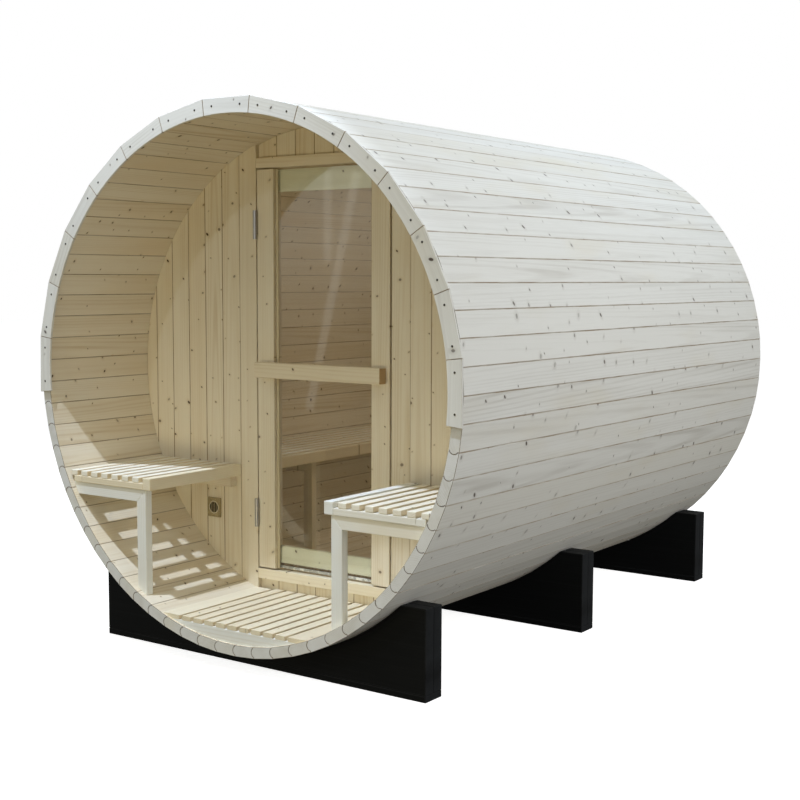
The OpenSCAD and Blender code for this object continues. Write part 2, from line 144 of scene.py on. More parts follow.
class FinishColours(bpy.types.PropertyGroup):
    """Colours of the finishes."""

    washed_light: tint("Washed light", "White-washed early wood", (0.80, 0.80, 0.765))
    washed_dark: tint("Washed dark", "White-washed late wood", (0.60, 0.585, 0.54))
    washed_stain: tint("Washed stain", "Yellowed patches of the wash", (0.72, 0.67, 0.53))
    washed_end: tint("Washed end", "Sawn ends of the staves", (0.77, 0.775, 0.765))
    washed_knot: tint("Washed knot", "Knots under the wash", (0.10, 0.08, 0.065))
    washed_joint: tint("Washed joint", "Bare wood in the joints outside", (0.36, 0.28, 0.19))
    spruce_light: tint("Spruce light", "Early wood of bare spruce", (0.82, 0.75, 0.60))
    spruce_dark: tint("Spruce dark", "Late wood of bare spruce", (0.65, 0.535, 0.35))
    spruce_stain: tint("Spruce stain", "Warm patches of bare spruce", (0.77, 0.65, 0.45))
    spruce_knot: tint("Spruce knot", "Knots in bare spruce", (0.07, 0.04, 0.02))
    spruce_joint: tint("Spruce joint", "Dark joints between bare boards", (0.28, 0.165, 0.065))
    planed_light: tint("Planed light", "Early wood of planed spruce", (0.915, 0.88, 0.76))
    planed_dark: tint("Planed dark", "Late wood of planed spruce", (0.81, 0.745, 0.59))
    planed_stain: tint("Planed stain", "Warm patches of planed spruce", (0.87, 0.81, 0.65))
    leg_light: tint("Leg light", "Early wood of pale legs, frames and bearers", (0.875, 0.89, 0.855))
    leg_dark: tint("Leg dark", "Late wood of pale legs, frames and bearers", (0.77, 0.755, 0.68))
    frame_light: tint("Frame light", "Early wood of frames, threshold, porch floor", (0.855, 0.78, 0.595))
    frame_dark: tint("Frame dark", "Late wood of frames, threshold, porch floor", (0.73, 0.62, 0.42))
    # Painted shade: this colour darkens the sides of slats, and faintly of planed boards, for the shaded
    # gaps between them
    slat_gap_shade: tint("Slat side", "Sides of slats, in the gaps", (0.76, 0.64, 0.44))
    rail_light: tint("Rail light", "Rails behind the glass", (0.90, 0.91, 0.72))
    rail_dark: tint("Rail dark", "Late wood of the rails behind the glass", (0.76, 0.75, 0.54))
    # The bead colour, darker than the stiles' spruce, is painted shade for the strips' recess beside the
    # glass
    bead: tint("Bead", "Strips beside the glass", (0.66, 0.58, 0.40))
    end_grain: tint("End grain", "Cut ends of bare spruce", (0.46, 0.29, 0.13))
    paint_black: tint("Black paint", "Paint on the cradles", (0.004, 0.0046, 0.005))
    paint_worn: tint("Worn paint", "Rubbed edges of the paint", (0.014, 0.0155, 0.017))
    # The same dark colour also covers the seal's wooden carrier, as painted shade in its recess under the
    # door
    seam: tint("Seam", "Bare wood between stave ends", (0.26, 0.20, 0.14))
    glass: tint("Glass", "Tint of the door's glass", (0.17, 0.165, 0.11))
    steel: tint("Steel", "Hinges", (0.42, 0.41, 0.39))
    steel_dull: tint("Dull steel", "Brush marks on the hinges", (0.30, 0.29, 0.28))
    screw: tint("Screw", "Blackened screw heads", (0.03, 0.025, 0.02))
    seal: tint("Seal", "Rubber strip under the door", (0.93, 0.93, 0.86))
    vent: tint("Vent", "Vent plate", (0.44, 0.355, 0.19))
    # The rim's colour, lighter than the plate, is a painted highlight on the raised ring
    vent_rim: tint("Vent rim", "Rim about the louvre", (0.70, 0.62, 0.44))
    # Painted shade: a near-black disc behind the louvre stands for the dark inside the vent
    vent_hole_shade: tint("Vent hole", "Dark behind the louvre", (0.012, 0.010, 0.007))
    floor: tint("Floor", "Stage floor", (0.90, 0.90, 0.90))


class StageSettings(bpy.types.PropertyGroup):
    """Camera and lights."""

    camera_place: FloatVectorProperty(
        name="Camera place", description="Where the camera stands", default=(2.9967, -4.4327, 1.3135),
        size=3, subtype="XYZ", unit="LENGTH")
    azimuth: degrees("Azimuth", "Camera's turn round the sauna", 35.34)
    elevation: degrees("Elevation", "Camera's look down", 5.16)
    roll: degrees("Roll", "Camera's roll", 0.16)
    lens: FloatProperty(
        name="Lens", description="Focal length in millimetres", default=60.5, unit="CAMERA")
    sky: number("Sky", "Strength of the light from all round above", 0.18)
    ground: number("Ground", "Strength of the light from below", 0.10)
    hall: number("Hall", "Brightness that the glass mirrors", 0.85)
    floor_glow: number("Floor glow", "Own light of the white floor", 0.86)
    porch_lamp: power("Porch lamp", "Power of the lamp over the porch", 650.0)
    ceiling_light: power("Ceiling", "Power of the soft light above", 75.0)
    side_light: power("Side", "Power of the soft light at the right", 78.0)
    low_light: power("Low side", "Power of the low soft light at the right", 64.0)
    front_light: power("Front", "Power of the small lamp in front", 15.0)
    bounce_light: power("Bounce", "Power of the low light into the porch", 23.0)
    fill_light: power("Fill", "Power of the high soft light in front", 21.0)
    rear_light: power("Rear", "Power of the soft light behind, at the left", 110.0)
    room_lamp: power("Room", "Power of the lamp in the room", 3.2)
    glint: number("Glint", "Brightness of the thin lights that the glass mirrors", 0.6)


GROUPS = {"sauna_sizes": BarrelSizes, "sauna_colours": FinishColours, "sauna_stage": StageSettings}


class Finish:
    """Short-hand for wiring the nodes of one material."""

    def __init__(self, name):
        self.material = bpy.data.materials.new(name)
        self.material.use_nodes = True
        self.nodes = self.material.node_tree.nodes
        self.links = self.material.node_tree.links
        self.shader = self.nodes["Principled BSDF"]

    def feed(self, socket, value):
        """Links a socket to the value, or sets it there."""
        if isinstance(value, bpy.types.NodeSocket):
            self.links.new(value, socket)
        elif socket.type == "RGBA":
            socket.default_value = (*value, 1.0)
        else:
            socket.default_value = value

    def node(self, kind, inputs, **settings):
        """Makes a node with these settings and inputs."""
        made = self.nodes.new("ShaderNode" + kind)
        for name, value in settings.items():
            setattr(made, name, value)
        for key, value in inputs.items():
            self.feed(made.inputs[key], value)
        return made

    def attribute(self, name):
        return self.node("Attribute", {}, attribute_name=name).outputs["Vector"]

    def split(self, vector):
        return self.node("SeparateXYZ", {0: vector}).outputs

    def math(self, operation, a, b=0.0):
        return self.node("Math", {0: a, 1: b}, operation=operation).outputs[0]

    def hypot(self, a, b):
        """Root of the sum of two squares."""
        squares = [self.math("MULTIPLY", side, side) for side in (a, b)]
        return self.math("SQRT", self.math("ADD", *squares))

    def vector(self, operation, a, b, c=(0, 0, 0)):
        return self.node("VectorMath", {0: a, 1: b, 2: c}, operation=operation).outputs[0]

    def smooth(self, value, low, high):
        """Runs smoothly from 0 at low to 1 at high."""
        inputs = {"Value": value, "From Min": low, "From Max": high}
        return self.node("MapRange", inputs, interpolation_type="SMOOTHSTEP").outputs["Result"]

    def span(self, value, low, high, to_low, to_high):
        """Runs straight from to_low at low to to_high at high."""
        inputs = {"Value": value, "From Min": low, "From Max": high, "To Min": to_low, "To Max": to_high}
        return self.node("MapRange", inputs).outputs["Result"]

    def noise(self, vector, scale, detail=2.0):
        """Noise from 0 to 1, with its own scale along each axis."""
        place = self.vector("MULTIPLY", vector, scale)
        return self.node("TexNoise", {"Vector": place, "Scale": 1.0, "Detail": detail}).outputs[0]

    def mix(self, factor, a, b):
        inputs = {0: factor, MIX_A: a, MIX_B: b}
        return self.node("Mix", inputs, data_type="RGBA", clamp_result=True).outputs[MIX_RESULT]

    def bump(self, height, strength, distance):
        inputs = {"Height": height, "Strength": strength, "Distance": distance}
        self.feed(self.shader.inputs["Normal"], self.node("Bump", inputs).outputs[0])

    def surface(self, **inputs):
        """Feeds the shader's sockets, with _ for a space in their names."""
        for name, value in inputs.items():
            self.feed(self.shader.inputs[name.replace("_", " ")], value)
        return self.material


def colours():
    return bpy.context.scene.sauna_colours


# How fine the noises of a board are, along it, across it and through it
SWAY_SCALE = (1.3, 8.0, 8.0)
STREAK_SCALE = (0.9, 26.0, 26.0)
FIBRE_SCALE = (11.0, 380.0, 380.0)
CLOUD_SCALE = (1.6, 5.0, 5.0)
BREAK_SCALE = (9.0, 3.0, 3.0)
# How far apart the boards lie in the noise and in the grid of knots
NOISE_OFFSET = (37.0, 53.0, 71.0)
KNOT_OFFSET = (61.0, 43.0, 0.0)
# Where a knot's dark core and its halo fade out, and where they are full, in knot radii
CORE_EDGE = (1.2, 0.7)
HALO_EDGE = (3.4, 0.9)
# Least and most distance of the pith across and through a board, and taper of its growth rings
PITH_ACROSS = (-0.07, 0.07)
PITH_THROUGH = (0.025, 0.13)
RING_TAPER = (0.002, 0.014)
# How far the rings sway, and how far a knot bends them
RING_SWAY = 0.022
RING_BEND = 0.003
# Least and most strength of a board's figure
BOLDNESS = (0.7, 1.9)


def wood(name, tints, look):
    """Boards with growth rings, streaks, knots, joints and cut ends, along each board's own grain."""
    light, dark, stain, knot, joint, end = tints
    f = Finish(name)
    grain = f.attribute("grain")
    batch = f.attribute("batch")
    along, across, through = f.split(grain)
    half_length, half_width, _ = f.split(f.attribute("size"))
    luck_a, luck_b, luck_c = f.split(batch)
    seeded = f.vector("MULTIPLY_ADD", batch, NOISE_OFFSET, grain)
    sway = f.math("SUBTRACT", f.noise(seeded, SWAY_SCALE), 0.5)

    # Knots sit in cells of a grid, only some cells have one, and each is a leaning oval
    cell = (*look["knot_cell"], 1.0)
    cells = f.vector("DIVIDE", f.node("CombineXYZ", {0: along, 1: across, 2: 0.0}).outputs[0], cell)
    cells = f.vector("MULTIPLY_ADD", batch, KNOT_OFFSET, cells)
    voronoi = f.node("TexVoronoi", {"Vector": cells, "Scale": 1.0}, voronoi_dimensions="2D")
    chance, girth, depth = f.split(voronoi.outputs["Color"])
    apart = f.vector("MULTIPLY", f.vector("SUBTRACT", cells, voronoi.outputs["Position"]), cell)
    apart_along, apart_across, _ = f.split(apart)
    lean = f.math("MULTIPLY", apart_across, f.span(depth, 0.0, 1.0, -look["lean"], look["lean"]))
    oval_along = f.math("ADD", apart_along, lean)
    oval_across = f.math("DIVIDE", apart_across, look["oval"])
    there = f.math("LESS_THAN", chance, look["knots"])
    radius = f.span(f.math("POWER", girth, 2.0), 0.0, 1.0, *look["knot_size"])
    reach = f.math("DIVIDE", f.hypot(oval_along, oval_across), radius)
    core = f.math("MULTIPLY", f.smooth(reach, *CORE_EDGE), there)
    halo = f.math("MULTIPLY", f.smooth(reach, *HALO_EDGE), there)

    # Growth rings about a pith beside the board, bent by the sway and by the knots
    ring_x = f.math("ADD", across, f.span(luck_a, 0.0, 1.0, *PITH_ACROSS))
    ring_x = f.math("ADD", ring_x, f.math("MULTIPLY", sway, RING_SWAY))
    ring_y = f.math("ADD", through, f.span(luck_b, 0.0, 1.0, *PITH_THROUGH))
    pith = f.hypot(ring_x, ring_y)
    taper = f.math("MULTIPLY", along, f.span(luck_c, 0.0, 1.0, *RING_TAPER))
    year = f.math("ADD", f.math("ADD", pith, taper), f.math("MULTIPLY", halo, RING_BEND))
    wave = f.math("SINE", f.math("MULTIPLY", year, math.tau / look["ring"]))
    late = f.smooth(wave, -0.2, 1.0)
    streak = f.noise(seeded, STREAK_SCALE, 3.0)
    fibre = f.noise(seeded, FIBRE_SCALE)
    cloud = f.noise(seeded, CLOUD_SCALE, 3.0)

    # Some boards have a stronger figure than others
    bold = f.span(f.math("POWER", luck_c, 2.0), 0.0, 1.0, *BOLDNESS)
    figure = f.math("MULTIPLY", late, f.span(streak, 0.3, 0.7, 0.2 * look["figure"], look["figure"]))
    figure = f.math("ADD", figure, f.span(streak, 0.3, 0.7, -look["streak"], look["streak"]))
    shade = f.math("MULTIPLY", figure, bold)
    shade = f.math("ADD", shade, f.span(fibre, 0.25, 0.75, -look["fibre"], look["fibre"]))
    shade = f.math("ADD", shade, f.span(luck_b, 0.0, 1.0, -0.02, look["tone"]))
    colour = f.mix(shade, light, dark)
    patch = f.math("MULTIPLY", f.smooth(cloud, 0.52, 0.78), look["stain"])
    patch = f.math("ADD", patch, f.span(luck_a, 0.55, 1.0, 0.0, look["warm"]))
    colour = f.mix(patch, colour, stain)
    colour = f.mix(f.math("MULTIPLY", halo, look["halo"]), colour, dark)
    colour = f.mix(f.math("MULTIPLY", core, f.span(depth, 0.0, 1.0, *look["core"])), colour, knot)

    # Joints along the boards come and go, and cut ends are darker. On slats the joint line is painted
    # shade, darkening their sides for the gaps between them
    rim = f.math("SUBTRACT", half_width, f.math("ABSOLUTE", across))
    broken = f.noise(seeded, BREAK_SCALE, 3.0)
    line = f.smooth(rim, look["joint_width"], 0.3 * look["joint_width"])
    line = f.math("MULTIPLY", line, f.span(broken, 0.3, 0.65, *look["joint"]))
    colour = f.mix(line, colour, joint)
    tip = f.math("SUBTRACT", half_length, f.math("ABSOLUTE", along))
    tip = f.smooth(tip, look["end_width"], 0.4 * look["end_width"])
    colour = f.mix(f.math("MULTIPLY", tip, look["end"]), colour, end)

    height = f.math("ADD", f.math("MULTIPLY", fibre, 0.6), f.math("MULTIPLY", late, 0.4))
    height = f.math("SUBTRACT", height, f.math("MULTIPLY", core, 0.8))
    f.bump(height, 0.35, 0.0006)
    rough = f.span(fibre, 0.2, 0.8, look["rough"] - 0.08, look["rough"] + 0.08)
    return f.surface(Base_Color=colour, Roughness=rough, Specular_IOR_Level=0.2)


# Knots, growth rings, streaks, stains, joints and cut ends of each kind of wood, lengths in metres
WASHED_LOOK = {
    "knot_cell": (0.115, 0.072), "knots": 0.58, "knot_size": (0.0022, 0.0062), "oval": 1.4, "lean": 0.45,
    "ring": 0.0075, "figure": 0.30, "streak": 0.14, "fibre": 0.12, "tone": 0.20, "stain": 0.35,
    "warm": 0.18, "halo": 0.45, "core": (0.2, 1.0), "joint_width": 0.0034, "joint": (0.2, 1.0),
    "end": 0.0, "end_width": 0.0012, "rough": 0.62,
}
SPRUCE_LOOK = {
    "knot_cell": (0.105, 0.060), "knots": 0.62, "knot_size": (0.0020, 0.0058), "oval": 1.25, "lean": 0.5,
    "ring": 0.0070, "figure": 0.34, "streak": 0.18, "fibre": 0.10, "tone": 0.24, "stain": 0.50,
    "warm": 0.35, "halo": 0.45, "core": (0.4, 1.0), "joint_width": 0.0023, "joint": (0.5, 1.0),
    "end": 0.15, "end_width": 0.0012, "rough": 0.55,
}
PLANED_LOOK = {**SPRUCE_LOOK, "joint": (0.0, 0.1), "knots": 0.35, "end": 0.0}
# The strong joint line of slats paints their sides darker: painted shade in the gaps
SLAT_LOOK = {**SPRUCE_LOOK, "joint": (0.7, 1.0), "joint_width": 0.0012, "knots": 0.35, "end": 0.0}
ENDS_LOOK = {**WASHED_LOOK, "knots": 0.0, "joint": (0.0, 0.0), "figure": 0.55, "ring": 0.005}
TRIM_LOOK = {**WASHED_LOOK, "joint": (0.0, 0.2), "end": 0.9, "end_width": 0.0022, "knots": 0.5}


def dimmed(colour, part):
    return tuple(part * channel for channel in colour)


def woods():
    """Tints and look of each wood."""
    c = colours()
    washed = (
        c.washed_light, c.washed_dark, c.washed_stain, c.washed_knot, c.washed_joint, c.washed_joint)
    spruce = (
        c.spruce_light, c.spruce_dark, c.spruce_stain, c.spruce_knot, c.spruce_joint, c.end_grain)
    cut = (c.spruce_knot, c.slat_gap_shade, c.end_grain)
    planed = (c.planed_light, c.planed_dark, c.planed_stain, *cut)
    leg = (c.leg_light, c.leg_dark, c.planed_stain, *cut)
    framed = (c.frame_light, c.frame_dark, c.spruce_stain, *cut)
    rail = (c.rail_light, c.rail_dark, c.rail_dark, c.spruce_knot, c.rail_dark, c.rail_dark)
    bead = (c.bead, dimmed(c.bead, 0.7), dimmed(c.bead, 0.85), *spruce[3:])
    return {
        "washed_boards": (washed, WASHED_LOOK),
        "washed_ends": ((c.washed_end, *washed[1:]), ENDS_LOOK),
        "trim_wood": (washed, TRIM_LOOK),
        "spruce_boards": (spruce, SPRUCE_LOOK),
        "door_boards": (spruce, {**SPRUCE_LOOK, "joint": (0.0, 0.15)}),
        "planed_boards": (leg, PLANED_LOOK),
        "slat_boards": (planed, SLAT_LOOK),
        "frame_boards": (framed, PLANED_LOOK),
        "floor_boards": (framed, SLAT_LOOK),
        "rail_boards": (rail, {**SPRUCE_LOOK, "joint": (0.0, 0.1), "knots": 0.5}),
        "bead_wood": (bead, {**SPRUCE_LOOK, "joint": (0.0, 0.15), "knots": 0.2}),
        "bar_wood": (spruce, {**SPRUCE_LOOK, "joint": (0.0, 0.1), "knots": 0.15, "end": 0.85}),
    }


def cradle_paint():
    """Brushed black paint, rubbed lighter along the edges."""
    c = colours()
    f = Finish("cradle_paint")
    grain = f.attribute("grain")
    half_length, half_width, _ = f.split(f.attribute("size"))
    along, across, _ = f.split(grain)
    brush = f.noise(grain, (3.0, 160.0, 160.0), 3.0)
    cloud = f.noise(grain, (5.0, 14.0, 14.0), 3.0)
    rim = f.math("MINIMUM", f.math("SUBTRACT", half_width, f.math("ABSOLUTE", across)),
                 f.math("SUBTRACT", half_length, f.math("ABSOLUTE", along)))
    worn = f.math("MULTIPLY", f.smooth(rim, 0.006, 0.0005), f.span(cloud, 0.35, 0.65, 0.15, 0.9))
    worn = f.math("ADD", worn, f.span(brush, 0.45, 0.8, 0.0, 0.25))
    f.bump(brush, 0.25, 0.0008)
    return f.surface(Base_Color=f.mix(worn, c.paint_black, c.paint_worn),
                     Roughness=f.span(cloud, 0.3, 0.7, 0.5, 0.7), Specular_IOR_Level=0.1)


# Colour and cover of the glass's mirroring front, and cover of its tinted back
GLOSS = (0.92, 0.95, 0.90)
GLOSS_COVER = 0.08
TINT_COVER = 0.10


def smear(f):
    """Faint cloudy wiping marks on the glass."""
    place = f.node("TexCoord", {}).outputs["Object"]
    return f.noise(place, (3.0, 3.0, 0.8), 3.0)


def glass_gloss():
    """Clear front of the glass, with faint mirroring."""
    f = Finish("glass_gloss")
    rough = f.span(smear(f), 0.3, 0.7, 0.015, 0.05)
    return f.surface(Base_Color=GLOSS, Metallic=1.0, Alpha=GLOSS_COVER, Roughness=rough)


def glass_tint():
    """Tinted back of the glass, which lets most of the light through."""
    f = Finish("glass_tint")
    rough = f.span(smear(f), 0.3, 0.7, 0.2, 0.4)
    return f.surface(Base_Color=colours().glass, Roughness=rough, Alpha=TINT_COVER)


def hinge_steel():
    """Brushed steel."""
    c = colours()
    f = Finish("hinge_steel")
    place = f.node("TexCoord", {}).outputs["Object"]
    brush = f.noise(place, (900.0, 900.0, 40.0))
    f.bump(brush, 0.15, 0.0002)
    dull = f.mix(f.span(brush, 0.3, 0.7, 0.0, 0.35), c.steel, c.steel_dull)
    return f.surface(Base_Color=dull, Metallic=1.0, Roughness=f.span(brush, 0.2, 0.8, 0.28, 0.46))


def speckled(name, colour, dark, scale, rough):
    """Small-grained finish between a colour and a darker share of it."""
    f = Finish(name)
    place = f.node("TexCoord", {}).outputs["Object"]
    grit = f.noise(place, (scale, scale, scale), 4.0)
    f.bump(grit, 0.2, 0.0003)
    mottled = f.mix(f.smooth(grit, 0.42, 0.62), dimmed(colour, dark), colour)
    return f.surface(Base_Color=mottled, Roughness=f.span(grit, 0.3, 0.7, rough - 0.08, rough + 0.08))


def coats():
    """Colour, darker share, fineness and roughness of each small-grained finish."""
    c = colours()
    return {
        "seam": (c.seam, 0.6, 90.0, 0.8),
        "screw_head": (c.screw, 0.4, 600.0, 0.45),
        "rubber_seal": (c.seal, 0.5, 70.0, 0.6),
        "vent_paint": (c.vent, 0.7, 260.0, 0.45),
        "vent_rim": (c.vent_rim, 0.8, 260.0, 0.4),
        "vent_shade": (c.vent_hole_shade, 0.5, 200.0, 0.7),
        "stage_white": (c.floor, 0.99, 3.0, 0.8),
    }


SPECIAL = {
    "cradle_paint": cradle_paint,
    "glass_gloss": glass_gloss,
    "glass_tint": glass_tint,
    "hinge_steel": hinge_steel,
}


def finish(name):
    """The material of that name, made when it is first asked for."""
    if name in bpy.data.materials:
        return bpy.data.materials[name]
    if name in SPECIAL:
        return SPECIAL[name]()
    if name in coats():
        return speckled(name, *coats()[name])
    return wood(name, *woods()[name])


def sizes():
    return bpy.context.scene.sauna_sizes


def inner_radius():
    return OUTER_RADIUS - sizes().stave_thickness


def solids(node):
    """Boxes of a CAD node's separate solids, sorted by place."""
    bm = bmesh.new()
    bm.from_mesh(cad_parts[node].data)
    bmesh.ops.remove_doubles(bm, verts=bm.verts, dist=WELD)
    left = set(bm.verts)
    boxes = []
    while left:
        front = [left.pop()]
        low = front[0].co.copy()
        high = front[0].co.copy()
        while front:
            vert = front.pop()
            low = Vector(map(min, low, vert.co))
            high = Vector(map(max, high, vert.co))
            near = {edge.other_vert(vert) for edge in vert.link_edges} & left
            left -= near
            front.extend(near)
        boxes.append((low, high))
    bm.free()
    return sorted(boxes, key=lambda box: [round(x, 5) for x in (*box[0], *box[1])])


def block(bm, low, high):
    """A block between two corners."""
    place = Matrix.LocRotScale((low + high) / 2, None, high - low)
    return bmesh.ops.create_cube(bm, size=1.0, matrix=place)["verts"]


def round_off(bm, edges, width, segments=2):
    """Rounds these edges."""
    bmesh.ops.bevel(
        bm, geom=edges, offset=width, segments=segments, affect="EDGES", profile=0.5, material=-1)


def parallel(edge, axis):
    """Whether an edge runs along the axis."""
    return abs((edge.verts[1].co - edge.verts[0].co).normalized().dot(axis)) > SAME_WAY


class Timber:
    """A mesh of boards whose vertices know their place along, across and through their own board."""

    def __init__(self, seed):
        self.bm = bmesh.new()
        self.luck = random.Random(seed)
        for name in ("grain", "size", "batch"):
            self.bm.verts.layers.float_vector.new(name)
        self.bm.verts.layers.int.new("made")
        vectors = self.bm.verts.layers.float_vector
        self.grain = vectors["grain"]
        self.size = vectors["size"]
        self.batch = vectors["batch"]
        self.made = self.bm.verts.layers.int["made"]

    def verts(self):
        """Vertices of the board that is being made."""
        return [v for v in self.bm.verts if not v[self.made]]

    def edges(self):
        return [e for e in self.bm.edges if not e.verts[0][self.made]]

    def faces(self):
        return [face for face in self.bm.faces if not face.verts[0][self.made]]

    def box(self, low, high):
        block(self.bm, low, high)

    def outline(self, points, depth):
        """A block with that outline, extruded along depth."""
        face = self.bm.faces.new([self.bm.verts.new(point) for point in points])
        self.extrude([face], depth)

    def extrude(self, faces, depth):
        made = bmesh.ops.extrude_face_region(self.bm, geom=faces)["geom"]
        moved = [part for part in made if isinstance(part, bmesh.types.BMVert)]
        bmesh.ops.translate(self.bm, verts=moved, vec=depth)
        bmesh.ops.recalc_face_normals(self.bm, faces=self.faces())

    def fitted(self, radius, low, high, cuts=()):
        """A block between two corners, cut to the inside of the barrel and by other planes."""
        place = Matrix.Translation((0, low.y, AXIS_Z)) @ Matrix.Rotation(math.pi / 2, 4, "X")
        bmesh.ops.create_circle(self.bm, cap_ends=True, segments=RIM_STEPS, radius=radius, matrix=place)
        sides = [(low, -RIGHT), (low, -UP), (high, RIGHT), (high, UP)]
        for point, away in [*sides, *cuts]:
            parts = [*self.verts(), *self.edges(), *self.faces()]
            bmesh.ops.bisect_plane(
                self.bm, geom=parts, dist=WELD, plane_co=point, plane_no=away, clear_outer=True)
        short = [e for e in self.edges() if e.calc_length() < SHORT_STEP]
        spare = {v for e in short for v in e.verts if v.calc_edge_angle() < ROUND_TURN}
        bmesh.ops.dissolve_verts(self.bm, verts=list(spare))
        self.extrude(self.faces(), BACK * (high.y - low.y))

    def ease(self, width, axis=None, segments=2, keep=None):
        """Rounds the board's edges, all of them or those along an axis."""
        edges = [e for e in self.edges() if axis is None or parallel(e, axis)]
        edges = [e for e in edges if keep is None or keep(e)]
        round_off(self.bm, edges, width, segments)

    def turn(self, angle):
        """Turns the board about the barrel's axis, anticlockwise from the front."""
        bmesh.ops.rotate(
            self.bm, verts=self.verts(), cent=(0, 0, AXIS_Z), matrix=Matrix.Rotation(-angle, 3, "Y"))

    def close(self, along, across, paint=None, wedge=None):
        """Ends a board: writes its grain, and the finish of each face if paint tells it.

        A wedge is the half angle of a board that widens away from the barrel's axis, with the axis of the
        board that widens and the axis that points outwards.
        """
        through = along.cross(across)
        verts = self.verts()
        places = [Vector((v.co.dot(along), v.co.dot(across), v.co.dot(through))) for v in verts]
        low = Vector(min(p[i] for p in places) for i in range(3))
        high = Vector(max(p[i] for p in places) for i in range(3))
        centre = (low + high) / 2
        hub = Vector((UP.dot(along), UP.dot(across), UP.dot(through))) * AXIS_Z
        if wedge:
            half_angle, wide, out = wedge
            centre[wide] = hub[wide]
        batch = Vector(self.luck.random() for _ in range(3))
        for face in self.faces():
            face.material_index = paint(face) if paint else 0
        for vert, place in zip(verts, places):
            half = (high - low) / 2
            if wedge:
                half[wide] = abs(place[out] - hub[out]) * math.tan(half_angle)
            vert[self.grain] = place - centre
            vert[self.size] = half
            vert[self.batch] = batch
            vert[self.made] = 1

    def piece(self, name, finishes, body, nodes, slot):
        """Makes the object of these boards."""
        self.bm.verts.layers.int.remove(self.bm.verts.layers.int["made"])
        return piece(name, self.bm, finishes, body, nodes)


def add(name, data):
    """Puts an object of that data into the scene."""
    made = bpy.data.objects.new(name, data)
    bpy.context.scene.collection.objects.link(made)
    return made


def mesh_object(name, bm, finishes):
    """Makes an object of a mesh in these finishes."""
    mesh = bpy.data.meshes.new(name)
    bm.to_mesh(mesh)
    bm.free()
    for kind in finishes:
        mesh.materials.append(finish(kind))
    return add(name, mesh)


def piece(name, bm, finishes, body, nodes):
    """Makes an object that rides on a body and stands for these CAD nodes."""
    made = mesh_object(name, bm, finishes)
    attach(made, body)
    if nodes:
        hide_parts(*nodes)
    return made


def box_boards(name, node, along, across, ease, finish_name, body=SHELL):
    """Plain boards where a CAD node has its solids."""
    timber = Timber(name)
    for low, high in solids(node):
        timber.box(low, high)
        timber.ease(ease)
        timber.close(along, across)
    return timber.piece(name, [finish_name], body, [node], "spruce")


def fitted_boards(name, node, along, across, ease, finish_name):
    """Boards where a CAD node has its solids, cut to the inside of the barrel."""
    timber = Timber(name)
    for low, high in solids(node):
        timber.fitted(inner_radius() - sizes().fit_gap, low, high)
        longest = max(e.calc_length() for e in timber.edges() if parallel(e, along))
        timber.ease(ease, along, keep=lambda e: e.calc_length() > STRAIGHT_SHARE * longest)
        timber.close(along, across)
    return timber.piece(name, [finish_name], SHELL, [node], "spruce")


def screws(name, places, facing, radius, body):
    """Half-sunk screw heads that face one way."""
    bm = bmesh.new()
    turn = facing.to_track_quat("Z", "Y").to_matrix().to_4x4()
    for place in places:
        bmesh.ops.create_cone(
            bm, cap_ends=True, segments=SCREW_STEPS, radius1=radius, radius2=SCREW_TOP * radius,
            depth=SCREW_DEPTH * radius, matrix=Matrix.Translation(place) @ turn)
    return piece(name, bm, ["screw_head"], body, [])


